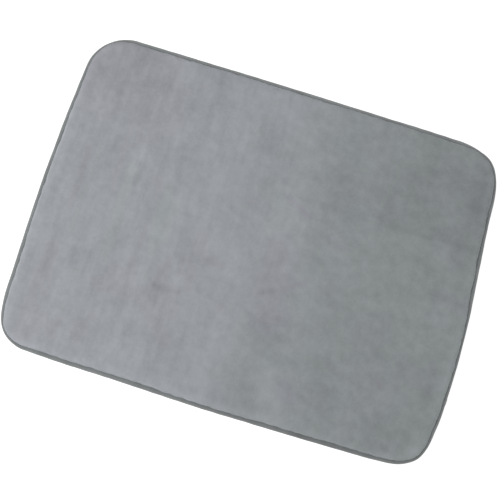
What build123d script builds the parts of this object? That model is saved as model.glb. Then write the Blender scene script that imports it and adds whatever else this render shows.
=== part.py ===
"""Padded bath mat: velour cover, memory foam core and dotted non-slip cloth, all held in a sewn edge binding.

Frame: origin on the floor under the middle of the mat, +X along its length, +Y towards its back edge, +Z up.
All sizes are in millimetres.
"""

from build123d import *
import math
import os

# ---- outline of the finished mat, over the outside of the binding ----
LENGTH = 600.0
WIDTH = 450.0
# Each side is an arc of a very large circle.
FRONT_SIDE_RADIUS = 8800.0
RIGHT_SIDE_RADIUS = 1750.0
BACK_SIDE_RADIUS = 25000.0
LEFT_SIDE_RADIUS = 2850.0
RIGHT_CREST_Y = -32.0  # where along the width the right side stands out furthest
LEFT_CREST_Y = 35.0
FRONT_LEFT_CORNER_RADIUS = 47.0
FRONT_RIGHT_CORNER_RADIUS = 56.0
BACK_RIGHT_CORNER_RADIUS = 51.0
BACK_LEFT_CORNER_RADIUS = 57.0

# ---- thickness of each layer, from the floor up ----
TAPE_THICK = 0.6
CLOTH_THICK = 0.8
FOAM_THICK = 9.0
COVER_THICK = 1.6
FOAM_LIP_THICK = 2.0  # foam squeezed flat where the binding grips it
COVER_HEM_THICK = 1.2  # cover squeezed flat where the binding grips it

# ---- edge binding, sizes measured inwards from the outline ----
TAPE_REACH = 5.3
LAYER_INSET = 1.4
NOSE_RADIUS = 2.0
COVER_SHOULDER_RADIUS = 6.5

# ---- seam that closes the binding ----
SEAM_INSET = 4.0
THREAD_WIDTH = 0.5
NEEDLE_THREAD_THICK = 0.35
NEEDLE_THREAD_SUNK = 0.2  # how deep the needle thread sinks into the tape
BOBBIN_THREAD_THICK = 0.25

# ---- lap where the end of the binding tape crosses its start ----
LAP_Y = -124.0
LAP_LONG = 9.0
LAP_THICK = 0.4

# ---- grip dots under the non-slip cloth, in staggered rows ----
DOT_RADIUS = 3.5
DOT_FLAT_RADIUS = 2.8
DOT_PITCH = 22.0
DOT_MARGIN = 9.0  # clear cloth between the binding and the nearest dot's centre

# ---- care label on the underside ----
LABEL_LONG = 48.0
LABEL_WIDE = 24.0
LABEL_THICK = 0.25
LABEL_X = -205.0
LABEL_Y = 182.0
LABEL_SEAM_INSET = 2.0
LABEL_THREAD_THICK = 0.15

# ---- levels worked out from the sizes above ----
CLOTH_BOTTOM = TAPE_THICK
FOAM_BOTTOM = CLOTH_BOTTOM + CLOTH_THICK
FOAM_TOP = FOAM_BOTTOM + FOAM_THICK
MAT_TOP = FOAM_TOP + COVER_THICK
LIP_TOP = FOAM_BOTTOM + FOAM_LIP_THICK
HEM_TOP = LIP_TOP + COVER_HEM_THICK
BINDING_TOP = HEM_TOP + TAPE_THICK


def mat_outline(inset):
    """Overlap of four very large discs, one for each bowed side, with its corners rounded.

    Each disc's edge touches one side of the LENGTH by WIDTH rectangle, where that side of the mat stands out
    furthest. Moving the outline inwards makes every disc and every corner radius smaller by inset.
    """
    face = Pos(0, FRONT_SIDE_RADIUS - WIDTH / 2) * Circle(FRONT_SIDE_RADIUS - inset)
    face &= Pos(LENGTH / 2 - RIGHT_SIDE_RADIUS, RIGHT_CREST_Y) * Circle(RIGHT_SIDE_RADIUS - inset)
    face &= Pos(0, WIDTH / 2 - BACK_SIDE_RADIUS) * Circle(BACK_SIDE_RADIUS - inset)
    face &= Pos(LEFT_SIDE_RADIUS - LENGTH / 2, LEFT_CREST_Y) * Circle(LEFT_SIDE_RADIUS - inset)
    corners = [
        (-LENGTH / 2, -WIDTH / 2, FRONT_LEFT_CORNER_RADIUS),
        (LENGTH / 2, -WIDTH / 2, FRONT_RIGHT_CORNER_RADIUS),
        (LENGTH / 2, WIDTH / 2, BACK_RIGHT_CORNER_RADIUS),
        (-LENGTH / 2, WIDTH / 2, BACK_LEFT_CORNER_RADIUS),
    ]
    for x, y, radius in corners:
        corner = face.vertices().sort_by_distance((x, y, 0))[0]
        face = fillet(corner, radius - inset)
    return face


def slab(inset, low, high):
    """Flat layer from level low to level high, its edge the outline moved inwards by inset."""
    return Pos(0, 0, low) * extrude(mat_outline(inset), high - low)


def ring(outer_inset, inner_inset, low, high):
    """Flat band between two insets of the outline."""
    return slab(outer_inset, low, high) - slab(inner_inset, low, high)


def dome(inset, low, high, shoulder):
    """Layer whose upper edge is rounded off by the shoulder radius."""
    block = slab(inset, low, high)
    return fillet(block.edges().group_by(Axis.Z)[-1], shoulder)


def seam_ring(low, high):
    """Band one thread wide along the binding seam."""
    half = THREAD_WIDTH / 2
    return ring(SEAM_INSET - half, SEAM_INSET + half, low, high)


def backing_cloth():
    """Non-slip cloth under the foam, its edge gripped by the binding."""
    return slab(LAYER_INSET, CLOTH_BOTTOM, FOAM_BOTTOM)


def foam_core():
    """Memory foam slab with a rounded shoulder, and a lip squeezed flat in the binding."""
    lip = slab(LAYER_INSET, FOAM_BOTTOM, LIP_TOP)
    cushion = dome(
        TAPE_REACH + COVER_THICK, FOAM_BOTTOM, FOAM_TOP, COVER_SHOULDER_RADIUS - COVER_THICK
    )
    return lip + cushion


def top_cover(foam):
    """Velour cloth over the foam, with a flat hem on the foam's lip."""
    hem = slab(LAYER_INSET, LIP_TOP, HEM_TOP)
    outside = dome(TAPE_REACH, LIP_TOP, MAT_TOP, COVER_SHOULDER_RADIUS)
    return hem + outside - foam


def tape_shell(outset, top):
    """Tape wrapped round the three layers: a rounded nose, two legs and the space for the layers."""
    body = slab(-outset, 0, top)
    outer_edges = body.edges().group_by(Axis.Z)[-1] + body.edges().group_by(Axis.Z)[0]
    body = fillet(outer_edges, NOSE_RADIUS)
    layers = slab(LAYER_INSET, CLOTH_BOTTOM, HEM_TOP)
    opening = slab(TAPE_REACH, 0, top)
    return body - layers - opening


def edge_binding():
    """Folded tape round the whole edge, with its lap and the two grooves that the seam presses in."""
    lap_zone = Pos(LENGTH / 2, LAP_Y, BINDING_TOP) * Box(4 * TAPE_REACH, LAP_LONG, 2 * BINDING_TOP)
    lap = tape_shell(LAP_THICK, BINDING_TOP + LAP_THICK) & lap_zone
    binding = tape_shell(0, BINDING_TOP) + lap
    binding -= seam_ring(BINDING_TOP - NEEDLE_THREAD_SUNK, BINDING_TOP + LAP_THICK)
    binding -= seam_ring(0, BOBBIN_THREAD_THICK)
    return binding


def needle_thread():
    """Upper thread of the binding seam, one closed loop round the mat."""
    low = BINDING_TOP - NEEDLE_THREAD_SUNK
    return seam_ring(low, low + NEEDLE_THREAD_THICK)


def bobbin_thread():
    """Lower thread of the binding seam, flush with the underside of the tape."""
    return seam_ring(0, BOBBIN_THREAD_THICK)


def care_label():
    """Blank woven label, sewn flat on the non-slip cloth."""
    sheet = Box(LABEL_LONG, LABEL_WIDE, LABEL_THICK, align=(Align.CENTER, Align.CENTER, Align.MAX))
    return Pos(LABEL_X, LABEL_Y, CLOTH_BOTTOM) * sheet


def label_thread():
    """Thread that holds the label down, one closed loop near its edge."""
    long_side = LABEL_LONG - 2 * LABEL_SEAM_INSET
    wide_side = LABEL_WIDE - 2 * LABEL_SEAM_INSET
    outer = Rectangle(long_side + THREAD_WIDTH, wide_side + THREAD_WIDTH)
    inner = Rectangle(long_side - THREAD_WIDTH, wide_side - THREAD_WIDTH)
    bottom = CLOTH_BOTTOM - LABEL_THICK - LABEL_THREAD_THICK
    return Pos(LABEL_X, LABEL_Y, bottom) * extrude(outer - inner, LABEL_THREAD_THICK)


def dot_places():
    """Centres of the grip dots: staggered rows over the cloth, leaving out the label's place."""
    field = mat_outline(TAPE_REACH + DOT_MARGIN).faces()[0]
    row_step = DOT_PITCH * math.sin(math.radians(60))
    rows = int(WIDTH / 2 / row_step)
    columns = int(LENGTH / 2 / DOT_PITCH) + 1
    keep_x = LABEL_LONG / 2 + DOT_RADIUS + 1
    keep_y = LABEL_WIDE / 2 + DOT_RADIUS + 1
    places = []
    for row in range(-rows, rows + 1):
        for column in range(-columns, columns + 1):
            x = (column + 0.5 * (row % 2)) * DOT_PITCH
            y = row * row_step
            on_label = abs(x - LABEL_X) < keep_x and abs(y - LABEL_Y) < keep_y
            if field.is_inside(Vector(x, y, 0)) and not on_label:
                places.append((x, y))
    return places


def grip_dots():
    """Moulded dots under the non-slip cloth, each a separate solid that stands on the floor."""
    dot = Cone(
        DOT_FLAT_RADIUS,
        DOT_RADIUS,
        CLOTH_BOTTOM,
        align=(Align.CENTER, Align.CENTER, Align.MIN),
    )
    return Compound(children=[Pos(x, y, 0) * dot for x, y in dot_places()])


def main():
    foam = foam_core()
    parts = {
        "top_cover": top_cover(foam),
        "foam_core": foam,
        "backing_cloth": backing_cloth(),
        "grip_dots": grip_dots(),
        "edge_binding": edge_binding(),
        "needle_thread": needle_thread(),
        "bobbin_thread": bobbin_thread(),
        "care_label": care_label(),
        "label_thread": label_thread(),
    }
    os.makedirs("parts", exist_ok=True)
    for node, shape in parts.items():
        export_step(shape, f"parts/{node}.step")
        box = shape.bounding_box()
        print(node, len(shape.solids()), "solids", round(shape.volume, 1), "mm3", box.min, box.max)


main()
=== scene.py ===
"""Padded bath mat: velour over memory foam on dotted non-slip cloth, held in a sewn tape edge.

Everything is in metres in the frame's own axes: +X along the mat, +Y towards its back edge, +Z up, floor at
0. The mat's edge is a loop of eight arcs, four bowed sides and four corners. Each piece is worked out from
that loop: a place on the mat is a distance along the loop, an inset from it and a height.
"""

import math

import bpy
import numpy as np
from mathutils import Matrix, Vector


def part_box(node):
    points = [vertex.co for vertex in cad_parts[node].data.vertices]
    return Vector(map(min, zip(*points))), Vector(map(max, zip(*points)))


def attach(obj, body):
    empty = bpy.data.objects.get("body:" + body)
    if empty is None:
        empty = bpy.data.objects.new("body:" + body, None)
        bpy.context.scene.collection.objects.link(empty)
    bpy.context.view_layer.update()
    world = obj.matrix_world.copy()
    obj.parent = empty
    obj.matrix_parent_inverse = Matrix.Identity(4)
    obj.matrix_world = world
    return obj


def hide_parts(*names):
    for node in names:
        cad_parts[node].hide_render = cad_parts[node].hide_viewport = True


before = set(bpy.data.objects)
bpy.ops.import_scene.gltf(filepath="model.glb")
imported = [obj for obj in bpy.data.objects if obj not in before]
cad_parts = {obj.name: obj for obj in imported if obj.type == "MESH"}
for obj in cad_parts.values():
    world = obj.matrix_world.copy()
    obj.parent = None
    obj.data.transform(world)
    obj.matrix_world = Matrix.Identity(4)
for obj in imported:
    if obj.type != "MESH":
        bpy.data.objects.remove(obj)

bl_info = {
    "name": "Bath mat",
    "version": (1, 0, 0),
    "blender": (4, 5, 0),
    "location": "3D View > Sidebar > Bath mat",
    "description": "Builds a bound velour bath mat round its packed frame",
    "category": "Object",
}

BODY = "root"
MM = 0.001
TURN = 2 * math.pi
WHITE = (1.0, 1.0, 1.0, 1.0)

# Levels and corners read from the frame.
COVER_TOP = float(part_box("top_cover")[1][2])
FOAM_BOTTOM, FOAM_TOP = (float(corner[2]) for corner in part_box("foam_core"))
CLOTH_BOTTOM, CLOTH_TOP = (float(corner[2]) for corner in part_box("backing_cloth"))
SEAM_BOTTOM = float(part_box("needle_thread")[0][2])
LABEL_LOW, LABEL_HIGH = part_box("care_label")
LABEL_THREAD_LOW, LABEL_THREAD_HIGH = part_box("label_thread")
# How deep the needle thread sinks into the tape.
SEAM_SUNK = 0.0002


# ---- What a user may change ----


def value_of(name, text, value, unit="LENGTH"):
    """One length in metres, or another number, that a user may change."""
    return bpy.props.FloatProperty(name=name, description=text, default=value, unit=unit, precision=5)


def colour_of(name, text, value):
    """One linear colour that a user may change."""
    return bpy.props.FloatVectorProperty(
        name=name, description=text, default=value, subtype="COLOR", size=3, min=0.0, max=1.0
    )


class BathMatSizes(bpy.types.PropertyGroup):
    """Sizes of the mat's pieces."""

    length: value_of("Length", "Over the outside of the binding", 0.600)
    width: value_of("Width", "Over the outside of the binding", 0.450)
    front_side: value_of("Front side", "Radius of the front side's long arc", 8.8)
    right_side: value_of("Right side", "Radius of the right side's long arc", 1.75)
    back_side: value_of("Back side", "Radius of the back side's long arc", 25.0)
    left_side: value_of("Left side", "Radius of the left side's long arc", 2.85)
    right_crest: value_of("Right crest", "Where along the width the right side stands out most", -0.032)
    left_crest: value_of("Left crest", "Where along the width the left side stands out most", 0.035)
    front_left_corner: value_of("Front left corner", "Radius of that corner", 0.047)
    front_right_corner: value_of("Front right corner", "Radius of that corner", 0.056)
    back_right_corner: value_of("Back right corner", "Radius of that corner", 0.051)
    back_left_corner: value_of("Back left corner", "Radius of that corner", 0.057)
    tape_thick: value_of("Tape", "Thickness of the binding tape", CLOTH_BOTTOM)
    tape_reach: value_of("Tape reach", "How far in from the edge the tape reaches", 0.0053)
    layer_inset: value_of("Layer inset", "How far in from the edge the held layers end", 0.0014)
    shoulder: value_of("Shoulder", "Radius of the cover's rounded edge", 0.0065)
    hem_thick: value_of("Hem", "Thickness of the cover where the tape holds it", 0.0012)
    cover_thick: value_of("Cover", "Thickness of the velour", COVER_TOP - FOAM_TOP)
    seam_inset: value_of("Seam inset", "How far in from the edge the seam runs", 0.004)
    stitch: value_of("Stitch", "Length of one stitch of the binding seam", 0.003)
    thread: value_of("Thread", "Thickness of the needle thread", 0.00042)
    lap_place: value_of("Lap place", "Where along the width the tape's ends cross", -0.124)
    lap_length: value_of("Lap length", "How far the tape's ends cross", 0.009)
    lap_thick: value_of("Lap thickness", "How far the lap stands out", 0.0004)
    dot_radius: value_of("Dot radius", "Radius of a grip dot on the cloth", 0.0035)
    dot_pitch: value_of("Dot pitch", "Distance from one grip dot to the next", 0.022)
    dot_margin: value_of("Dot margin", "Clear cloth between the tape and the nearest dot's centre", 0.009)


class BathMatColours(bpy.types.PropertyGroup):
    """Linear colours of the materials."""

    velour_cool: colour_of("Velour, cool", "Velour where the nap looks bluish", (0.285, 0.292, 0.318))
    velour_warm: colour_of("Velour, neutral", "Velour where the nap looks greenish", (0.2625, 0.289, 0.290))
    foam: colour_of("Foam", "Memory foam", (0.74, 0.70, 0.56))
    cloth: colour_of("Cloth", "Non-slip cloth", (0.130, 0.137, 0.143))
    dots: colour_of("Dots", "Grip dots", (0.075, 0.080, 0.086))
    tape: colour_of("Tape", "Binding tape", (0.232, 0.244, 0.245))
    thread: colour_of("Thread", "Sewing thread", (0.200, 0.210, 0.212))
    label: colour_of("Label", "Care label", (0.72, 0.72, 0.69))
    floor: colour_of("Floor", "Studio floor", (0.50, 0.50, 0.50))


class BathMatStudio(bpy.types.PropertyGroup):
    """Camera and light."""

    distance: value_of("Camera distance", "From the camera to the point it looks at", 0.9271)
    tilt: value_of("Camera tilt", "Away from straight down", math.radians(8.85), "ROTATION")
    roll: value_of("Camera roll", "Turn of the picture", math.radians(14.64), "ROTATION")
    turn: value_of("Camera turn", "Turn about the upright", math.radians(2.68), "ROTATION")
    aim_x: value_of("Aim X", "Point above the floor that the camera looks at", -0.0062)
    aim_y: value_of("Aim Y", "Point above the floor that the camera looks at", -0.0090)
    lens: value_of("Lens", "Focal length, millimetres", 50.0, "NONE")
    key_power: value_of("Key light", "Power of the key light, watts", 25.5, "NONE")
    fill_power: value_of("Fill light", "Power of the fill light, watts", 3.0, "NONE")
    air: value_of("Air light", "Strength of the light from all round", 0.52, "NONE")
    floor_glow: value_of("Floor glow", "Light from the lit floor", 0.72, "NONE")


# ---- Shapes as whole arrays ----

# Where the sewn edge strays from its smooth line, in millimetres: (x, y, reach along it, how far outwards).
EDGE_STRAYS = (
    (-291, -186, 14, -0.7),
    (-283, -208, 16, 0.2),
    (-200, -225, 45, 0.3),
    (-116, -224, 45, -0.5),
    (0, -225, 45, 0.5),
    (244, -221, 14, -0.9),
    (279, -204, 14, 1.0),
    (294, -176, 20, -2.1),
    (300, -73, 45, 0.7),
    (297, 65, 45, -1.1),
    (289, 165, 30, 3.4),
    (276, 205, 14, 1.5),
    (250, 222, 14, -1.4),
    (-294, -157, 20, 1.0),
)
# Where the tape reaches further over the mat, or less far: (x, y, reach along it, how much further).
TAPE_STRAYS = (
    (-200, -225, 50, 0.4),
    (-110, -225, 60, 1.0),
    (150, -224, 80, 0.9),
    (300, -50, 32, -0.9),
    (298, 50, 50, 1.3),
    (200, 225, 90, 1.0),
    (20, 225, 90, 1.2),
    (-170, 225, 90, 1.2),
    (-299, 80, 90, 0.5),
    (-297, -90, 80, 0.7),
    (-286, -212, 30, -1.4),
    (-283, 208, 26, -0.7),
    (285, -208, 26, -0.7),
    (285, 208, 26, -0.7),
)


def where_circles_meet(centre_a, radius_a, centre_b, radius_b, near):
    """Of the two points where two circles cross, the one nearer to near."""
    between = centre_b - centre_a
    apart = np.linalg.norm(between)
    along = (apart**2 + radius_a**2 - radius_b**2) / (2 * apart)
    aside = math.sqrt(radius_a**2 - along**2)
    unit = between / apart
    across = np.array([-unit[1], unit[0]])
    both = centre_a + along * unit + np.array([[aside], [-aside]]) * across
    return both[np.argmin(np.linalg.norm(both - near, axis=1))]


class Edge:
    """The mat's edge as a loop of eight arcs, anticlockwise from the front left corner.

    Each side is an arc of a very large circle that touches one side of the length by width rectangle, and
    each corner is an arc that touches the two sides beside it. Distances along it are metres.
    """

    def __init__(self, size):
        x, y = size.length / 2, size.width / 2
        side_radius = np.array((size.front_side, size.right_side, size.back_side, size.left_side))
        side_x = (0.0, x - size.right_side, 0.0, size.left_side - x)
        side_y = (size.front_side - y, size.right_crest, y - size.back_side, size.left_crest)
        side_centre = np.column_stack([side_x, side_y])
        corner_radius = np.array(
            (size.front_left_corner, size.front_right_corner, size.back_right_corner, size.back_left_corner)
        )
        corner_point = np.array([(-x, -y), (x, -y), (x, y), (-x, y)])
        before_centre = np.roll(side_centre, 1, axis=0)
        before_reach = np.roll(side_radius, 1) - corner_radius
        reach = side_radius - corner_radius
        circles = zip(before_centre, before_reach, side_centre, reach, corner_point)
        corner_centre = np.array([where_circles_meet(*pair) for pair in circles])
        begin = np.arctan2(*(corner_centre - before_centre).T[::-1])
        end = np.arctan2(*(corner_centre - side_centre).T[::-1])
        self.centre = np.stack([corner_centre, side_centre], 1).reshape(8, 2)
        self.radius = np.stack([corner_radius, side_radius], 1).reshape(8)
        self.start = np.stack([begin, end], 1).reshape(8)
        self.sweep = np.stack([end - begin, np.roll(begin, -1) - end], 1).reshape(8) % TURN
        self.until = np.cumsum(self.radius * self.sweep)
        self.whole = self.until[-1]
        self.strays = self.placed(EDGE_STRAYS)
        self.tape_strays = self.placed(TAPE_STRAYS)

    def line(self, along, inset):
        """Points, and outward directions, on the smooth line of the edge, moved in by an inset."""
        arc = np.minimum(np.searchsorted(self.until, along, side="right"), 7)
        begun = np.where(arc > 0, self.until[arc - 1], 0.0)
        angle = self.start[arc] + (along - begun) / self.radius[arc]
        outward = np.stack([np.cos(angle), np.sin(angle)], -1)
        return self.centre[arc] + (self.radius[arc] - inset)[..., None] * outward, outward

    def at(self, along, inset=0.0):
        """Points, and outward directions, at distances along the loop and an inset from the sewn edge."""
        along = np.asarray(along) % self.whole
        return self.line(along, inset - self.bells(along, self.strays))

    def bells(self, along, placed):
        """Sum of bells along the loop: each is amount times exp(-(gap / reach) squared)."""
        place, reach, amount = placed
        gap = np.abs(along[..., None] - place)
        gap = np.minimum(gap, self.whole - gap)
        return (amount * np.exp(-((gap / reach) ** 2))).sum(axis=-1)

    def placed(self, strays):
        """Distances along the loop, reaches and amounts of a table of strays."""
        x, y, reach, amount = np.array(strays).T * MM
        return self.nearest(x, y), reach, amount

    def nearest(self, x, y):
        """Distance along the loop to the point of its line that is nearest to each place (x, y)."""
        along = np.arange(0.0, self.whole, 0.0005)
        point, _ = self.line(along, 0.0)
        far = np.hypot(point[:, 0] - np.asarray(x)[..., None], point[:, 1] - np.asarray(y)[..., None])
        return along[far.argmin(axis=-1)]

    def tape_stray(self, along):
        """How much further than usual the upper leg of the tape reaches over the mat."""
        along = np.asarray(along) % self.whole
        return self.bells(along, self.tape_strays) + 0.00016 * ripple(along, self, 0.015, 0.120, 61)

    def depth(self, nodes):
        """Distance of each node in from the smooth edge: from the nearest side, or from the corner's arc."""
        inside = self.radius - np.linalg.norm(nodes[..., None, :2] - self.centre, axis=-1)
        rounded, from_side = inside[..., 0::2], inside[..., 1::2]
        radius = self.radius[0::2]
        in_corner = (from_side < radius) & (np.roll(from_side, 1, -1) < radius)
        return np.minimum(from_side.min(axis=-1), np.where(in_corner, rounded, np.inf).min(axis=-1))


def ramp(value, low, high):
    """0 below low and 1 above high, with a smooth rise between them."""
    part = np.clip((value - low) / (high - low), 0.0, 1.0)
    return part * part * (3 - 2 * part)


def bell(value, middle, reach):
    """exp(-((value - middle) / reach) squared)."""
    return np.exp(-(((value - middle) / reach) ** 2))


def swell(x, y, shortest, longest, seed, stretch=1.0, count=28):
    """Smooth random field: a sum of cosine waves, scaled to a standard deviation of 1.

    Each wave has its own length between shortest and longest, its own direction and its own start. Lengths
    along Y are stretch times those along X.
    """
    random = np.random.default_rng(seed)
    wave_length = shortest * (longest / shortest) ** random.random(count)
    heading = random.random(count) * TURN
    start = random.random(count) * TURN
    rate_x = np.cos(heading) * TURN / wave_length
    rate_y = np.sin(heading) * TURN / wave_length / stretch
    waves = np.cos(x[..., None] * rate_x + y[..., None] * rate_y + start)
    return waves.sum(axis=-1) * math.sqrt(2 / count)


def ripple(along, edge, shortest, longest, seed, count=40):
    """Smooth random line round the edge: a sum of cosines with whole numbers of waves, deviation 1."""
    random = np.random.default_rng(seed)
    waves = np.round(edge.whole / (shortest * (longest / shortest) ** random.random(count)))
    start = random.random(count) * TURN
    return np.cos(along[..., None] / edge.whole * TURN * waves + start).sum(axis=-1) * math.sqrt(2 / count)


def grid_faces(rows, columns, loop_rows=False, loop_columns=False):
    """Quads of a rows by columns grid of nodes, either way of which may close on itself."""
    quads = (np.arange(rows - 1 + loop_rows), np.arange(columns - 1 + loop_columns))
    row, column = np.meshgrid(*quads, indexing="ij")
    next_row, next_column = (row + 1) % rows, (column + 1) % columns
    corners = ((row, column), (next_row, column), (next_row, next_column), (row, next_column))
    return np.stack([at * columns + beside for at, beside in corners], -1).reshape(-1, 4)


def corner_pairs(rows, columns, row_step, column_at):
    """Row and column distances at each corner of each quad, in the order of grid_faces."""
    row, column = np.meshgrid(np.arange(rows), np.arange(columns), indexing="ij")
    row_pairs = np.stack([row, row + 1, row + 1, row], -1) * row_step
    column_pairs = column_at[np.stack([column, column, column + 1, column + 1], -1)]
    return np.stack([row_pairs, column_pairs], -1).reshape(-1, 2)


def grid_rim(number):
    """Node numbers round the rim of a grid of them, from its first corner."""
    return np.concatenate([number[0, :-1], number[:-1, -1], number[-1, :0:-1], number[:0:-1, 0]])


def strip_faces(inner, outer):
    """Quads between two closed loops of node numbers, facing up when the loops run anticlockwise."""
    return np.stack([inner, outer, np.roll(outer, -1), np.roll(inner, -1)], -1)


def joined(first, second):
    """Two (nodes, faces) meshes as one."""
    return np.concatenate([first[0], second[0]]), np.concatenate([first[1], second[1] + len(first[0])])


def shell(upper, lower, faces, loop):
    """Closed shell of two like sheets: upper's faces, lower's turned over, and a rim along both loops."""
    nodes, both = joined((upper, faces), (lower, faces[:, ::-1]))
    return nodes, np.concatenate([both, strip_faces(loop, loop + len(upper))])


def copies(faces, count, nodes_each):
    """Faces of count like shapes whose nodes follow each other."""
    start = np.arange(count)[:, None] * nodes_each
    return (faces[None] + start[..., None]).reshape(-1, 4), start


class Mesher:
    """Nodes of a sheet over the whole mat: a square-meshed core and rings that turn into the edge's shape.

    The core is a plain rectangle. Each node of its rim has a place on the edge, spread evenly over each half
    side, and the rings between are straight-line mixes of the two. Rings further out are insets of the edge.
    """

    CORE_DEPTH = 0.055
    BAND_INSET = 0.0145
    FOOT_INSET = 0.006
    HELD_INSETS = (0.0018, 0.0048)

    def __init__(self, edge, size, pitch, ring_pitch):
        half_x = size.length / 2 - self.CORE_DEPTH
        half_y = size.width / 2 - self.CORE_DEPTH
        self.columns = 2 * round(half_x / pitch)
        self.rows = 2 * round(half_y / pitch)
        x, y = np.meshgrid(
            np.linspace(-half_x, half_x, self.columns + 1), np.linspace(-half_y, half_y, self.rows + 1)
        )
        self.core = np.stack([x.ravel(), y.ravel()], -1)
        self.rim = grid_rim(np.arange(x.size).reshape(x.shape))
        self.around = len(self.rim)
        corner = np.cumsum([0, self.columns, self.rows, self.columns, self.rows])
        knots = np.sort(np.concatenate([corner, (corner[:-1] + corner[1:]) / 2]))
        middles = edge.until - edge.radius * edge.sweep / 2
        self.along = np.interp(np.arange(self.around), knots, np.append(middles, middles[0] + edge.whole))
        self.edge = edge
        self.band_rings = round((self.CORE_DEPTH - self.BAND_INSET) / ring_pitch)
        band_outer, _ = edge.at(self.along, self.BAND_INSET)
        share = (np.arange(1, self.band_rings + 1) / self.band_rings)[:, None, None]
        self.band = self.core[self.rim] * (1 - share) + band_outer * share

    def nodes(self, top, insets, heights, free_inset=None):
        """Positions: the core and the band at height top, then one ring for each inset and height.

        Where free_inset is given, rings from there inwards stay, and so do those deep in the tape. Between
        them the rings follow the tape's own strays, the more the nearer they are to the edge of the tape.
        """
        flat = np.concatenate([self.core, self.band.reshape(-1, 2)])
        rings = [np.column_stack([flat, np.full(len(flat), top)])]
        stray = self.edge.tape_stray(self.along)
        for inset, height in zip(insets, heights):
            share = 0.0
            if free_inset is not None:
                share = ramp(inset, *self.HELD_INSETS) * (1 - ramp(inset, self.FOOT_INSET, free_inset))
            place, _ = self.edge.at(self.along, inset + share * stray)
            rings.append(np.column_stack([place, np.full(self.around, height)]))
        return np.concatenate(rings)

    def faces(self, profile_rings):
        """Quads of the core, the band and the profile's rings, facing up, and the rings' node numbers."""
        core = grid_faces(self.rows + 1, self.columns + 1)[:, ::-1]
        total = self.band_rings + profile_rings
        ring = len(self.core) + np.arange(total * self.around).reshape(total, self.around)
        loops = [self.rim, *ring]
        return np.concatenate([core] + [strip_faces(*pair) for pair in zip(loops, loops[1:])]), ring


def put_piece(name, shape, node_name, material, uv=None, values=None, caps=()):
    """Puts a (nodes, faces) shape into a new object at the origin that rides on the frame.

    It stands for a CAD node. uv holds one pair for each corner of each quad, values holds named numbers for
    each node, and caps holds faces with more than four corners.
    """
    nodes, faces = shape
    mesh = bpy.data.meshes.new(name)
    mesh.from_pydata(nodes.tolist(), [], faces.tolist() + [list(cap) for cap in caps])
    mesh.polygons.foreach_set("use_smooth", np.ones(len(mesh.polygons), bool))
    if uv is not None:
        mesh.uv_layers.new(name="cloth").data.foreach_set("uv", np.asarray(uv, np.float32).ravel())
    for key, numbers in (values or {}).items():
        mesh.attributes.new(key, "FLOAT", "POINT").data.foreach_set("value", numbers.astype(np.float32))
    mesh.materials.append(material)
    mesh.update()
    piece = bpy.data.objects.new(name, mesh)
    bpy.context.scene.collection.objects.link(piece)
    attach(piece, BODY)
    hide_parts(node_name)
    return piece


# ---- Materials ----

# A pattern that is stretched along no axis.
EVEN = (1.0, 1.0, 1.0)
# Turn of a thread's ply along it and round it, in radians a metre and in turns.
PLY_ALONG = 5200.0
PLY_ROUND = 2.0


class Number:
    """A shader socket that holds a number: sums and products of them add Math nodes."""

    def __init__(self, looks, socket):
        self.looks = looks
        self.socket = socket

    def maths(self, operation, *others):
        return self.looks.number("ShaderNodeMath", {"operation": operation}, dict(enumerate(others)))

    def __add__(self, other):
        return self.maths("ADD", self, other)

    def __radd__(self, other):
        return self.maths("ADD", other, self)

    def __sub__(self, other):
        return self.maths("SUBTRACT", self, other)

    def __rsub__(self, other):
        return self.maths("SUBTRACT", other, self)

    def __mul__(self, other):
        return self.maths("MULTIPLY", self, other)

    def __rmul__(self, other):
        return self.maths("MULTIPLY", other, self)

    def __abs__(self):
        return self.maths("ABSOLUTE", self)

    def sine(self):
        return self.maths("SINE", self)

    def rib(self, width):
        """Sine of a distance, one wave for each width."""
        return (self * (TURN / width)).sine()


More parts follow.
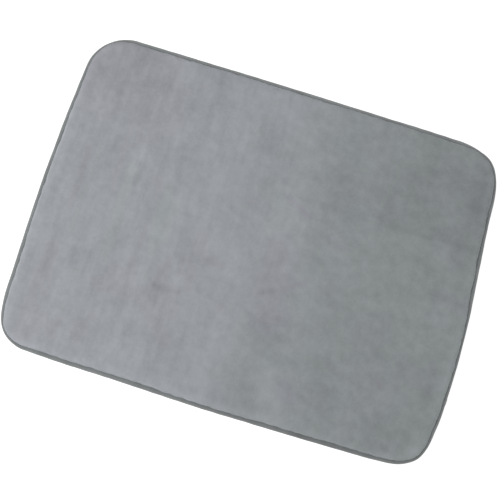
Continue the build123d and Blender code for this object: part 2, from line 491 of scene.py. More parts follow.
class Looks:
    """Node tree of one material."""

    def __init__(self, name):
        self.material = bpy.data.materials.new(name)
        self.material.use_nodes = True
        self.tree = self.material.node_tree
        self.tree.nodes.clear()

    def node(self, kind, settings=None, values=None):
        """Adds a node: its settings first, then the numbers, colours or links of its sockets."""
        made = self.tree.nodes.new(kind)
        for key, value in (settings or {}).items():
            setattr(made, key, value)
        for key, value in (values or {}).items():
            if isinstance(value, Number):
                value = value.socket
            if isinstance(value, bpy.types.NodeSocket):
                self.tree.links.new(value, made.inputs[key])
            else:
                made.inputs[key].default_value = value
        return made

    def number(self, kind, settings=None, values=None, output=0):
        """Adds a node and gives its output as a number for further sums."""
        return Number(self, self.node(kind, settings, values).outputs[output])

    def place(self, stretch=EVEN, turn=0.0):
        """Object coordinates, turned about the upright and scaled."""
        here = self.node("ShaderNodeTexCoord").outputs["Object"]
        mapping = {"Vector": here, "Rotation": (0.0, 0.0, turn), "Scale": stretch}
        return self.node("ShaderNodeMapping", None, mapping).outputs["Vector"]

    def pair(self, vector):
        """Two numbers: the first two coordinates of a vector."""
        split = self.node("ShaderNodeSeparateXYZ", None, {0: vector})
        return Number(self, split.outputs[0]), Number(self, split.outputs[1])

    def sewn(self):
        """Two numbers: lengthwise and crosswise distance on a tape or a thread."""
        return self.pair(self.node("ShaderNodeUVMap", {"uv_map": "cloth"}).outputs[0])

    def held(self, name):
        """A number that the mesh holds for each of its nodes."""
        return self.number("ShaderNodeAttribute", {"attribute_name": name}, None, "Fac")

    def noise(self, scale, detail=2.0, rough=0.5, stretch=EVEN, turn=0.0):
        """Soft noise from about -0.5 to 0.5, its pattern longer along an axis whose stretch is under 1."""
        values = {"Vector": self.place(stretch, turn), "Scale": scale, "Detail": detail, "Roughness": rough}
        return self.number("ShaderNodeTexNoise", None, values) - 0.5

    def mix(self, factor, first, second):
        """Mix of two colours."""
        settings = {"data_type": "RGBA", "clamp_factor": True}
        return self.node("ShaderNodeMix", settings, {0: factor, 6: first, 7: second}).outputs[2]

    def scaled(self, colour, factor):
        """A colour, a user's own or a link, times a number."""
        values = {0: colour, "Scale": factor}
        return self.node("ShaderNodeVectorMath", {"operation": "SCALE"}, values).outputs[0]

    def bump(self, height, strength, distance):
        """Normal from a height."""
        values = {"Height": height, "Strength": strength, "Distance": distance}
        return self.node("ShaderNodeBump", None, values).outputs["Normal"]

    def finish(self, **values):
        """Principled shader with those socket values, joined to the output."""
        named = {key.replace("_", " "): value for key, value in values.items()}
        shader = self.node("ShaderNodeBsdfPrincipled", None, named)
        self.node("ShaderNodeOutputMaterial", None, {"Surface": shader.outputs[0]})
        return self.material


def velour_looks(colours):
    """Short brushed pile: nap streaks along the short side, soft patches and a fine fibre grain."""
    looks = Looks("velour")
    streaky = looks.held("streaky")
    streak = looks.noise(100.0, 3.0, 0.6, (1.0, 0.11, 1.0), math.radians(2)) * streaky
    patch = looks.noise(34.0, 4.0, 0.6)
    mottle = looks.noise(150.0, 3.0, 0.65)
    fibre = looks.noise(1500.0, 2.0, 0.6, (1.0, 0.45, 1.0))
    tuft = looks.noise(520.0, 1.0)
    mottled = mottle * (0.20 + 0.06 * streaky)
    # The held nap numbers carry painted light and shade as well as the pile's own tone.
    tone = 1.0 + looks.held("nap") + 0.26 * streak + 0.17 * patch + mottled + 0.16 * fibre + 0.07 * tuft
    warmth = looks.held("tint") + 0.6 * looks.noise(19.0)
    colour = looks.mix(warmth, (*colours.velour_cool, 1.0), (*colours.velour_warm, 1.0))
    return looks.finish(
        Base_Color=looks.scaled(colour, tone),
        Roughness=0.86 + 0.12 * fibre,
        Normal=looks.bump(fibre * 0.5 + tuft * 0.6 + mottle * 0.5, 0.55, 0.0007),
        Sheen_Weight=0.32,
        Sheen_Roughness=0.42,
        Sheen_Tint=(0.86, 0.90, 0.96, 1.0),
        Specular_IOR_Level=0.18,
    )


def tape_looks(colours):
    """Plain woven tape: crossed ribs along and across it, from its own lengthwise and crosswise distances."""
    looks = Looks("binding_tape")
    along, across = looks.sewn()
    weft = along.rib(0.00078)
    weave = weft * across.rib(0.00062)
    wear = looks.noise(60.0, 3.0)
    fleck = looks.noise(1400.0)
    # The held shade numbers: the tape's own uneven tone and painted shade along the front.
    tone = 1.0 + looks.held("shade") + 0.10 * weave + 0.22 * wear + 0.20 * fleck
    return looks.finish(
        Base_Color=looks.scaled(colours.tape, tone),
        Roughness=0.78 + 0.10 * fleck,
        Normal=looks.bump(weave + 0.4 * abs(weft) + 0.5 * fleck, 0.6, 0.00012),
        Sheen_Weight=0.40,
        Sheen_Roughness=0.40,
        Specular_IOR_Level=0.25,
    )


def thread_looks(colours, name="sewing_thread"):
    """Twisted thread: slanting ply lines from the stitch's own lengthwise and round distances."""
    looks = Looks(name)
    along, around = looks.sewn()
    twist = (along * PLY_ALONG + around * PLY_ROUND * TURN).sine()
    fleck = looks.noise(2600.0)
    return looks.finish(
        Base_Color=looks.scaled(colours.thread, 1.0 + 0.18 * twist + 0.25 * fleck),
        Roughness=0.55 + 0.10 * twist,
        Normal=looks.bump(twist + fleck, 0.5, 0.00006),
        Sheen_Weight=0.10,
        Specular_IOR_Level=0.35,
    )


def foam_looks(colours):
    """Open-cell memory foam: fine cells and a slightly uneven tone."""
    looks = Looks("memory_foam")
    cells = {"Vector": looks.place(), "Scale": 1400.0}
    cell = looks.number("ShaderNodeTexVoronoi", None, cells, "Distance")
    tone = 1.0 + 0.10 * looks.noise(30.0, 3.0) + 0.16 * (cell - 0.4)
    return looks.finish(
        Base_Color=looks.scaled(colours.foam, tone),
        Roughness=0.92 + 0.05 * cell,
        Normal=looks.bump(cell, 0.5, 0.0003),
        Specular_IOR_Level=0.2,
    )


def cloth_looks(colours):
    """Non-slip cloth: plain weave of about one thread a millimetre, with slubs and uneven dye."""
    looks = Looks("grip_cloth")
    x, y = looks.pair(looks.place())
    weave = x.rib(0.0017) * y.rib(0.0017)
    slub = looks.noise(420.0, stretch=(1.0, 0.12, 1.0))
    fleck = looks.noise(1600.0)
    tone = 1.0 + 0.16 * weave + 0.24 * slub + 0.14 * looks.noise(40.0, 3.0) + 0.2 * fleck
    return looks.finish(
        Base_Color=looks.scaled(colours.cloth, tone),
        Roughness=0.84 + 0.08 * fleck,
        Normal=looks.bump(weave + 0.8 * slub + 0.3 * fleck, 0.7, 0.0003),
        Sheen_Weight=0.10,
        Specular_IOR_Level=0.25,
    )


def dot_looks(colours):
    """Moulded grip dots: soft rubber with a faint bloom and tiny pits."""
    looks = Looks("grip_rubber")
    bloom = looks.noise(90.0, 3.0)
    pit = looks.noise(1900.0)
    return looks.finish(
        Base_Color=looks.scaled(colours.dots, 1.0 + 0.30 * bloom + 0.10 * pit),
        Roughness=0.50 + 0.22 * bloom,
        Normal=looks.bump(pit, 0.4, 0.00008),
        Specular_IOR_Level=0.5,
    )


def label_looks(colours):
    """Woven label: fine satin ribs along it and a slightly uneven white."""
    looks = Looks("label_cloth")
    x, y = looks.pair(looks.place())
    rib = y.rib(0.00042)
    return looks.finish(
        Base_Color=looks.scaled(colours.label, 1.0 + 0.05 * rib + 0.06 * looks.noise(70.0, 3.0)),
        Roughness=0.46 + 0.08 * rib,
        Normal=looks.bump(rib + 0.6 * rib * x.rib(0.0009), 0.5, 0.00006),
        Sheen_Weight=0.15,
        Specular_IOR_Level=0.4,
    )


def floor_looks(colours, glow):
    """Plain pale studio floor, lit from below like a light table."""
    return Looks("studio_floor").finish(
        Base_Color=(*colours.floor, 1.0),
        Roughness=0.9,
        Specular_IOR_Level=0.0,
        Emission_Color=WHITE,
        Emission_Strength=glow,
    )


# ---- Velour cover and foam ----

# Strokes where the pile was brushed or pressed another way: (x, y) of both ends and half width, in
# millimetres, and how much lighter it looks, in thousandths.
BRUSH_STROKES = (
    (-255, -172, -252, -196, 14, -75),
    (-214, -172, -218, -190, 8, -55),
    (-285, 180, -240, 190, 45, -100),
    (-200, 180, -170, 170, 30, -30),
    (-252, 60, -249, -120, 6, -40),
    (-260, -60, -258, -165, 6, -35),
    (-238, 65, -240, -60, 3.5, 40),
    (-226, 110, -226, 0, 3, 30),
    (-208, 110, -205, -20, 3.5, -35),
    (-188, 50, -184, -95, 10, 50),
    (-212, -110, -207, -195, 12, 30),
    (-146, 40, -146, -50, 4, -35),
    (-134, 50, -128, -90, 9, 60),
    (-116, 30, -120, -30, 6, 30),
    (-112, -92, -77, -93, 4, -105),
    (-104, -55, -109, -82, 5, -65),
    (-72, -58, -68, -84, 5, -65),
    (-86, -50, -86, -70, 4, -60),
    (-75, 0, -68, -22, 7, -30),
    (-96, -138, -78, -156, 12, -50),
    (-52, -40, -34, -42, 6, -65),
    (-18, -85, -21, -102, 5, -35),
    (-3, -190, 12, -206, 13, -40),
    (4, -80, -4, -170, 4, -25),
    (12, 70, 8, -20, 7, 30),
    (-25, 55, 10, 43, 10, -40),
    (20, 73, 58, 56, 4, -95),
    (18, -64, 76, -31, 4, -90),
    (18, -42, 55, -22, 14, -20),
    (40, -70, 90, -50, 12, 20),
    (92, 36, 110, 28, 7, -65),
    (52, 150, 50, 92, 6, -30),
    (128, 118, 158, 102, 14, -35),
    (145, 98, 152, 134, 3, 70),
    (145, 32, 172, 14, 32, 40),
    (85, -165, 102, -182, 12, -85),
    (128, -118, 146, -128, 5, -35),
    (203, -124, 207, -131, 5, -120),
    (230, -98, 266, -116, 13, -50),
    (264, -85, 270, -94, 5, -90),
    (250, 6, 290, 2, 9, -75),
    (236, 88, 262, 60, 13, -45),
    (240, 170, 280, 130, 30, -40),
    (180, -190, 240, -200, 16, -20),
    (30, -10, 46, -80, 28, -100),
    (-175, -105, -100, -105, 22, -50),
    (180, -80, 190, -170, 35, -35),
    (-240, 140, -170, 120, 30, -40),
)
# Place along the width of the line where the mat was folded for packing.
FOLD_PLACE = 0.076
COVER_PITCH = 0.0027
COVER_RING_PITCH = 0.0029
SHOULDER_STEPS = 9
HEM_STEPS = 3
FOAM_GAP = 0.00004
# The simulated band: how deep in the mat it is free and held, how much too large it is cut, the air that
# fills it, and how far a node may move.
FREE_DEPTH = 0.020
HELD_DEPTH = 0.045
CLOTH_SPARE = 0.009
AIR_PRESSURE = 2.0
MOST_DRIFT = 0.0007
FRAMES = 20
CLOTH_SETTINGS = {
    "quality": 5,
    "mass": 0.05,
    "tension_stiffness": 18,
    "compression_stiffness": 18,
    "shear_stiffness": 8,
    "bending_stiffness": 0.6,
    "shrink_min": -CLOTH_SPARE,
    "use_pressure": True,
    "uniform_pressure_force": AIR_PRESSURE,
    "vertex_group_mass": "held",
    "pin_stiffness": 1.0,
}


def hem_height(size):
    """Height of the top of the cover's hem, under the upper leg of the tape."""
    return SEAM_BOTTOM + SEAM_SUNK - size.tape_thick


def over_shoulder(size, top, radius, bulge, foot, hem_depth, hem):
    """Insets and heights of a face from its flat top, over the shoulder and out along its hem.

    The shoulder is a quarter of a circle, which swells out by bulge times sin(2 turn) squared. Each foot
    point is a depth inside the tape's reach and a height over the hem, and the hem starts at hem_depth.
    """
    turn = np.linspace(0.0, math.pi / 2, SHOULDER_STEPS + 1)
    shoulder_inset = size.tape_reach + size.shoulder - radius * np.sin(turn) - bulge * np.sin(2 * turn) ** 2
    shoulder_height = top - radius * (1 - np.cos(turn))
    foot_depth, foot_height = np.array(foot).T
    hem_inset = np.linspace(size.tape_reach + hem_depth, size.layer_inset, HEM_STEPS)
    insets = np.concatenate([shoulder_inset, size.tape_reach + foot_depth, hem_inset])
    return insets, np.concatenate([shoulder_height, hem + foot_height, np.full(HEM_STEPS, hem)])


def cover_profile(size):
    """Profile of the velour's outer face, which swells a little over the tape before it tucks under."""
    foot = ((0.00022, 0.00050), (0.00055, 0.00012))
    return over_shoulder(size, COVER_TOP, size.shoulder, 0.00030, foot, -0.0003, hem_height(size))


def lining_profile(size):
    """Profile of the cover's inner face, ring for ring with the outer one."""
    thick = size.cover_thick
    foot = ((thick, 0.0012), (thick + 0.0002, 0.0004))
    under = hem_height(size) - size.hem_thick
    return over_shoulder(size, FOAM_TOP, size.shoulder - thick, 0.0, foot, thick - 0.0002, under)


def settle_cloth(nodes, faces, weights):
    """How far cloth moves when it is held by weights, filled from below and cut larger than its place.

    Blender's cloth simulation, with air pressure and no gravity, is stepped and read back.
    """
    mesh = bpy.data.meshes.new("settling")
    mesh.from_pydata(nodes.tolist(), [], faces.tolist())
    cloth_object = bpy.data.objects.new("settling", mesh)
    scene = bpy.context.scene
    scene.collection.objects.link(cloth_object)
    group = cloth_object.vertex_groups.new(name="held")
    for weight in np.unique(weights):
        group.add(np.flatnonzero(weights == weight).tolist(), float(weight), "REPLACE")
    modifier = cloth_object.modifiers.new("settling", "CLOTH")
    for key, value in CLOTH_SETTINGS.items():
        setattr(modifier.settings, key, value)
    modifier.settings.effector_weights.gravity = 0
    modifier.collision_settings.use_collision = False
    for number in range(1, FRAMES + 1):
        scene.frame_set(number)
    settled = cloth_object.evaluated_get(bpy.context.evaluated_depsgraph_get())
    moved = np.zeros(len(nodes) * 3, np.float32)
    settled.data.vertices.foreach_get("co", moved)
    scene.frame_set(1)
    bpy.data.objects.remove(cloth_object)
    bpy.data.meshes.remove(mesh)
    return moved.reshape(-1, 3) - nodes


def cover_drift(mesher, nodes, faces, ring, depth):
    """How far each node of the velour face moves as the cloth settles between the seam and the foam.

    The middle is glued to the foam and stays. The band beside the seam is free, a little too large and
    pushed up by the foam, so it puckers. Far moves are softly held below a limit.
    """
    drift = np.zeros_like(nodes)
    held = np.round(ramp(depth, FREE_DEPTH, HELD_DEPTH), 1)
    held[ring[mesher.band_rings + SHOULDER_STEPS + 1 :].ravel()] = 1.0
    used = np.concatenate([mesher.rim, ring.ravel()])
    number = np.full(len(nodes), -1)
    number[used] = np.arange(len(used))
    band_faces = number[faces]
    band_faces = band_faces[(band_faces >= 0).all(axis=1)]
    start = nodes[used]
    loose = 1 - held[used]
    along = np.resize(mesher.along, len(used))
    start[:, 2] += 0.00006 * loose * ripple(along, mesher.edge, 0.006, 0.030, 11)
    moved = settle_cloth(start, band_faces, held[used])
    far = np.linalg.norm(moved, axis=1, keepdims=True) + 1e-9
    moved *= MOST_DRIFT * np.tanh(far / MOST_DRIFT) / far
    drift[used] = moved * loose[:, None]
    return drift


def brushed(x, y):
    """How much lighter the pile looks at each place: a bell of its distance from each stroke."""
    tone = np.zeros_like(x)
    for from_x, from_y, to_x, to_y, reach, lighter in np.array(BRUSH_STROKES) * MM:
        long_x, long_y = to_x - from_x, to_y - from_y
        share = ((x - from_x) * long_x + (y - from_y) * long_y) / (long_x**2 + long_y**2)
        share = np.clip(share, 0.0, 1.0)
        apart = np.hypot(x - from_x - share * long_x, y - from_y - share * long_y)
        tone += lighter * bell(apart, 0.0, reach)
    return tone


def fold_line(x, y):
    """Packing fold across the mat: height above it, and how strong it is at each place along it."""
    line = FOLD_PLACE + 0.002 * np.sin(x * 31.0) + 0.001 * np.sin(x * 83.0) + 0.010 * ramp(-x, 0.0, 0.2)
    strength = 0.75 + 0.25 * swell(x, 0 * y, 0.08, 0.25, 24, count=8)
    return y - line, np.clip(strength, 0.0, 1.0)


def cover_relief(nodes, depth):
    """Height to add to the velour face: long soft swells, finer ones along the nap, marks and the fold."""
    x, y = nodes[:, 0], nodes[:, 1]
    relief = 0.00018 * swell(x, y, 0.060, 0.160, 21)
    relief += 0.00007 * swell(x, y, 0.014, 0.040, 22, stretch=1.6)
    relief += 0.000022 * swell(x, y, 0.006, 0.012, 23, stretch=1.6)
    above, strength = fold_line(x, y)
    relief += 0.004 * brushed(x, y) - 0.00020 * strength * bell(above, 0.0, 0.0035)
    return relief * ramp(depth, 0.004, 0.022)


def nap_and_painted_light(nodes, depth):
    """How much lighter or darker than its colour the pile looks, and how streaky it is.

    It is lighter on the left and darker on the right and at the back right: a painted falloff of light and
    sheen across the mat. It has streaks on the left, clouds elsewhere and the brush strokes. Over the rounded
    edge it has a painted sheen highlight, all round but at the back, where the rounded edge has painted shade
    instead. The fold's crease has painted shade, and behind the fold it is darker towards the right.
    """
    x, y = nodes[:, 0], nodes[:, 1]
    # Painted falloff of light and sheen: lighter on the left, darker on the right and at the back right.
    tone = 0.075 - 0.155 * ramp(x + 0.030 * swell(x, y, 0.10, 0.30, 31), -0.04, 0.14)
    tone += 0.025 * ramp(-x, 0.245, 0.28) - 0.015 * ramp(x, 0.10, 0.20)
    tone -= 0.060 * ramp(x, 0.23, 0.28) * ramp(y, -0.02, 0.08)
    streaky = 1 - 0.8 * ramp(x, -0.16, 0.10)
    tone += (0.006 + 0.011 * streaky) * swell(x, y, 0.010, 0.040, 32, stretch=3.0)
    tone += (0.021 - 0.007 * streaky) * swell(x, y, 0.014, 0.045, 33)
    tone += 0.020 * swell(x, y, 0.045, 0.120, 34)
    at_back = ramp(y, 0.19, 0.21)
    # Painted sheen highlight over the rounded edge all round but at the back, and painted shade over it at
    # the back.
    tone += 0.075 * bell(depth, 0.0095, 0.0065) * (1 - at_back)
    tone -= 0.120 * bell(depth, 0.0055, 0.0028) * at_back
    above, strength = fold_line(x, y)
    behind_fold = ramp(above, -0.004, 0.003) * np.exp(-np.maximum(above, 0) / 0.13)
    # Painted shade in the fold's crease, and darker behind the fold towards the right.
    tone -= 0.020 * strength * bell(above, 0.0, 0.005)
    tone -= 0.085 * strength * ramp(x, 0.06, 0.20) * behind_fold
    return tone + 0.9 * brushed(x, y), streaky


class BATHMAT_OT_top_cover(bpy.types.Operator):
    """Velour cover: a closed shell that runs over the foam and out under the tape"""

    bl_idname = "bathmat.top_cover"
    bl_label = "Velour cover and foam"

    def execute(self, context):
        size = context.scene.bath_mat_sizes
        colours = context.scene.bath_mat_colours
        mesher = Mesher(Edge(size), size, COVER_PITCH, COVER_RING_PITCH)
        insets, heights = cover_profile(size)
        free_inset = size.tape_reach + size.shoulder
        face = mesher.nodes(COVER_TOP, insets, heights, free_inset)
        lining = mesher.nodes(FOAM_TOP, *lining_profile(size), free_inset)
        faces, ring = mesher.faces(len(insets))
        depth = mesher.edge.depth(face)
        # The pile's tone: its own nap marks with painted light and shade, kept on the mesh as nap.
        tone, streaky = nap_and_painted_light(face, depth)
        tint = 0.25 + 0.6 * ramp(face[:, 0], -0.12, 0.24) + 5.0 * brushed(face[:, 0], face[:, 1])
        move = cover_drift(mesher, face, faces, ring, depth)
        move[:, 2] += cover_relief(face, depth)
        face += move
        lining += move
        cover = put_piece(
            "velour_cover",
            shell(face, lining, faces, ring[-1]),
            "top_cover",
            velour_looks(colours),
            values={"nap": np.tile(tone, 2), "tint": np.tile(tint, 2), "streaky": np.tile(streaky, 2)},
        )
        foam = self.foam(size, colours, mesher, lining, faces, ring[-1])
        return {"FINISHED"}

    def foam(self, size, colours, mesher, lining, faces, loop):
        """Foam slab: its upper face lies just under the cover's lining, and its lower face is flat."""
        low = FOAM_BOTTOM + FOAM_GAP
        insets, _ = lining_profile(size)
        upper = lining.copy()
        upper[:, 2] = np.maximum(upper[:, 2] - FOAM_GAP, low + FOAM_GAP)
        spread = np.linspace(insets[0], insets[-1], len(insets))
        lower = mesher.nodes(low, spread, np.full(len(insets), low))
        shape = shell(upper, lower, faces, loop)
        return put_piece("foam_slab", shape, "foam_core", foam_looks(colours))


# ---- Non-slip cloth and its dots ----

CLOTH_PITCH = 0.0065
CLOTH_RING_PITCH = 0.006
CLOTH_SAG = 0.00007


class BATHMAT_OT_backing_cloth(bpy.types.Operator):
    """Non-slip cloth under the foam, held by the tape all round"""

    bl_idname = "bathmat.backing_cloth"
    bl_label = "Non-slip cloth"

    def execute(self, context):
        size = context.scene.bath_mat_sizes
        mesher = Mesher(Edge(size), size, CLOTH_PITCH, CLOTH_RING_PITCH)
        reach = size.tape_reach
        insets = np.array([0.0115, 0.0085, reach + 0.0008, reach - 0.001, size.layer_inset])
        lower = mesher.nodes(CLOTH_BOTTOM, insets, np.full(len(insets), CLOTH_BOTTOM))
        upper = mesher.nodes(CLOTH_TOP, insets, np.full(len(insets), CLOTH_TOP))
        sag = 1 + swell(lower[:, 0], lower[:, 1], 0.03, 0.09, 41) / 3
        lower[:, 2] += CLOTH_SAG * ramp(mesher.edge.depth(lower), 0.006, 0.03) * sag
        faces, ring = mesher.faces(len(insets))
        shape = shell(upper, lower, faces, ring[-1])
        looks = cloth_looks(context.scene.bath_mat_colours)
        cloth = put_piece("grip_cloth", shape, "backing_cloth", looks)
        return {"FINISHED"}


class BATHMAT_OT_grip_dots(bpy.types.Operator):
    """Moulded grip dots: low domes with a flat end, each a closed shape of its own"""

    bl_idname = "bathmat.grip_dots"
    bl_label = "Grip dots"

    SIDES = 12
    # Dome from its flat end on the floor to its foot on the cloth: share of the radius, share of the height.
    DOME = ((0.66, 0.0), (0.86, 0.10), (0.96, 0.45), (1.0, 1.30))

    def execute(self, context):
        size = context.scene.bath_mat_sizes
        places = self.places(size)
        random = np.random.default_rng(51)
        radius = size.dot_radius * (1 + 0.03 * random.standard_normal(len(places)))
        angle = np.arange(self.SIDES) * TURN / self.SIDES
        share, level = np.array(self.DOME).T
        circle = np.stack([np.cos(angle), np.sin(angle)], -1)
        nodes = np.zeros((len(places), len(share), self.SIDES, 3))
        ring = share[:, None, None] * circle * radius[:, None, None, None]
        nodes[..., :2] = ring + places[:, None, None, :]
        nodes[..., 2] = (CLOTH_BOTTOM * level)[None, :, None]
        one = grid_faces(len(share), self.SIDES, loop_columns=True)[:, ::-1]
        faces, start = copies(one, len(places), len(share) * self.SIDES)
        side = np.arange(self.SIDES)
        caps = np.concatenate([start + side[::-1], start + (len(share) - 1) * self.SIDES + side])
        looks = dot_looks(context.scene.bath_mat_colours)
        shape = (nodes.reshape(-1, 3), faces)
        put_piece("grip_rubber_dots", shape, "grip_dots", looks, caps=caps.tolist())
        return {"FINISHED"}

    def places(self, size):
        """Centres of the dots: staggered rows over the cloth, leaving out the label's place."""
        row_step = size.dot_pitch * math.sin(math.radians(60))
        rows = int(size.width / 2 / row_step)
        columns = int(size.length / 2 / size.dot_pitch) + 1
        row, column = np.meshgrid(np.arange(-rows, rows + 1), np.arange(-columns, columns + 1), indexing="ij")
        place = np.stack([(column + 0.5 * (row % 2)) * size.dot_pitch, row * row_step], -1)
        inside = Edge(size).depth(place) > size.tape_reach + size.dot_margin
        clear = size.dot_radius + 0.001
        low, high = np.array(LABEL_LOW)[:2] - clear, np.array(LABEL_HIGH)[:2] + clear
        on_label = ((place > low) & (place < high)).all(axis=-1)
        return place[inside & ~on_label]


# ---- Binding and its seam ----

STATIONS_PER_STITCH = 3
NOSE_DEPTH = 0.0021
NOSE_STEPS = 13
# Middle points of the tape's legs, with a groove at the seam: (inset, height over the top or the floor).
UPPER_LEG = ((0.0047, 0.0), (0.0040, -0.00012), (0.0031, 0.00003))
LOWER_LEG = ((0.0031, 0.0), (0.0040, 0.00010), (0.0047, 0.0))
# Gap between the tape's inner face and the layers that it holds.
HOLD_GAP = 0.00002
LAP_ROWS = 15
# How far the lap is pressed into the tape under it, how deep its hidden face lies, the share of half its
# way over which it rises, the way round its closed profile, and the least height of its outer face.
LAP_SUNK = 0.00012
LAP_BURIED = 0.00030
LAP_RISE = 0.16
LAP_ROUND = 0.029
LAP_LEAST = 0.00001


def stitch_count(size, edge):
    """Whole number of stitches round the seam."""
    return round(edge.whole / size.stitch)


def tape_outside(size):
    """Insets and heights of the tape's outer face, from its upper leg round the nose to its lower leg.

    The nose is half an ellipse, and the lower leg is flat on the floor.
    """
    top = hem_height(size) + size.tape_thick
    reach = size.tape_reach
    turn = np.linspace(math.pi / 2, -math.pi / 2, NOSE_STEPS)
    upper = np.array([(reach, -0.00028), (reach - 0.00012, -0.00002), *UPPER_LEG])
    lower = np.array([*LOWER_LEG, (reach - 0.00012, 0.00003), (reach, 0.00028)])
    insets = np.concatenate([upper[:, 0], NOSE_DEPTH * (1 - np.cos(turn)), lower[:, 0]])
    return insets, np.concatenate([top + upper[:, 1], top / 2 * (1 + np.sin(turn)), lower[:, 1]])


def tape_inside(size):
    """Insets and heights of the tape's inner face, from its lower leg's edge round to the upper one's."""
    top = hem_height(size) - HOLD_GAP
    low = size.tape_thick - HOLD_GAP
    leg = np.array([size.tape_reach - 0.0001, 0.0036])
    end = size.layer_inset - 0.00006
    insets = np.concatenate([leg, [end + 0.0006, end, end, end + 0.0006], leg[::-1]])
    return insets, np.array([low, low, low, low + 0.0006, top - 0.0006, top, top, top])


def swept(edge, along, insets, heights):
    """A profile carried round the edge: a row of nodes for each place, a column for each profile point."""
    point, outward = edge.at(along)
    nodes = np.zeros((len(along), insets.shape[-1], 3))
    nodes[..., :2] = point[:, None] - insets[..., None] * outward[:, None]
    nodes[..., 2] = heights
    return nodes


def tape_tone_and_painted_shade(nodes):
    """How much lighter or darker than its colour the tape looks: uneven, and painted shade along the front.
    """
    x, y = nodes[:, 0], nodes[:, 1]
    # Painted shade along the front, deeper towards the right.
    at_front = ramp(-y, 0.170, 0.215) * (0.07 + 0.11 * ramp(x, -0.10, 0.15))
    return 0.04 * swell(x, y, 0.030, 0.200, 65) - at_front


class BATHMAT_OT_edge_binding(bpy.types.Operator):
    """Binding tape folded round the whole edge, with the lap where its end crosses its start"""

    bl_idname = "bathmat.edge_binding"
    bl_label = "Edge binding"

    def execute(self, context):
        size = context.scene.bath_mat_sizes
        edge = Edge(size)
        stations = STATIONS_PER_STITCH * stitch_count(size, edge)
        step = edge.whole / stations
        along = np.arange(stations) * step
        out_inset, out_height = tape_outside(size)
        in_inset, in_height = tape_inside(size)
        insets = np.concatenate([out_inset, in_inset])
        heights = np.concatenate([out_height, in_height])
        columns = len(insets)
        nodes = self.folded(size, edge, along, insets, heights, np.arange(columns) < len(out_inset))
        closed_inset, closed_height = np.append(insets, insets[0]), np.append(heights, heights[0])
        across = np.append(0.0, np.cumsum(np.hypot(np.diff(closed_inset), np.diff(closed_height))))
        lap_shape, lap_uv = self.lap(size, edge, out_inset, out_height)
        faces = grid_faces(stations, columns, True, True)
        nodes, faces = joined((nodes.reshape(-1, 3), faces), lap_shape)
        uv = np.concatenate([corner_pairs(stations, columns, step, across), lap_uv])
        binding = put_piece(
            "binding_tape",
            (nodes, faces[:, ::-1]),
            "edge_binding",
            tape_looks(context.scene.bath_mat_colours),
            uv=uv.reshape(-1, 4, 2)[:, ::-1],
            values={"shade": tape_tone_and_painted_shade(nodes)},
        )
        return {"FINISHED"}

    def folded(self, size, edge, along, insets, heights, outer):
        """The profile carried round the edge: its legs wander, and it puffs up and dips at the holes."""
        upper = heights > heights.max() / 2
        leg = ramp(insets, 0.0025, size.tape_reach)
        under_stray = 0.00022 * ripple(along, edge, 0.015, 0.180, 62)
        wander = np.where(upper, edge.tape_stray(along)[:, None], under_stray[:, None])
        hole = 1 + np.cos(along[:, None] / edge.whole * TURN * stitch_count(size, edge))
        dent = bell(insets, size.seam_inset, 0.0008) * outer
        puff = 0.00005 * ripple(along, edge, 0.005, 0.030, 63)[:, None] * ramp(insets, 0.0, 0.002)
        rise = np.where(upper, puff - dent * 0.00007 * hole, dent * 0.00003 * hole)
        side = 0.00010 * ripple(along, edge, 0.020, 0.25, 64)[:, None] * (1 - leg) * outer
        return swept(edge, along, insets + wander * leg + side, heights + rise * outer)

    def lap(self, size, edge, insets, heights):
        """The crossing end of the tape: the outer profile again over a short way.

        Its outer face is moved out along the profile's normal by a lift that falls off at both ends of the
        way, and its hidden face is moved inwards.
        """
        way = np.linspace(-1.0, 1.0, LAP_ROWS)
        along = edge.nearest(size.length / 2, size.lap_place) + way * size.lap_length / 2
        lift = size.lap_thick * np.clip((1 - np.abs(way)) / LAP_RISE, 0.0, 1.0) ** 0.5
        normal = np.stack([-np.gradient(heights), np.gradient(insets)])
        normal /= np.hypot(*normal)
        raised = (lift - LAP_SUNK)[:, None]
        out_inset = insets - raised * normal[0]
        out_height = np.maximum(heights - raised * normal[1], LAP_LEAST)
        hidden = np.stack([insets, heights]) + LAP_BURIED * normal
        hidden_inset, hidden_height = np.tile(hidden[:, None, ::-1], (1, LAP_ROWS, 1))
        loop_inset = np.concatenate([out_inset, hidden_inset], axis=1)
        nodes = swept(edge, along, loop_inset, np.concatenate([out_height, hidden_height], axis=1))
        columns = loop_inset.shape[1]
        near = np.arange(columns // 2 - 1)
        far = columns - 1 - near
        first = np.stack([near, near + 1, far - 1, far], -1)
        last = (first + (LAP_ROWS - 1) * columns)[:, ::-1]
        faces = np.concatenate([grid_faces(LAP_ROWS, columns, loop_columns=True), first, last])
        across = np.linspace(0.0, LAP_ROUND, columns + 1)
        uv = corner_pairs(LAP_ROWS - 1, columns, size.lap_length / (LAP_ROWS - 1), across)
        return (nodes.reshape(-1, 3), faces), np.concatenate([uv, np.zeros((len(first) * 8, 2))])


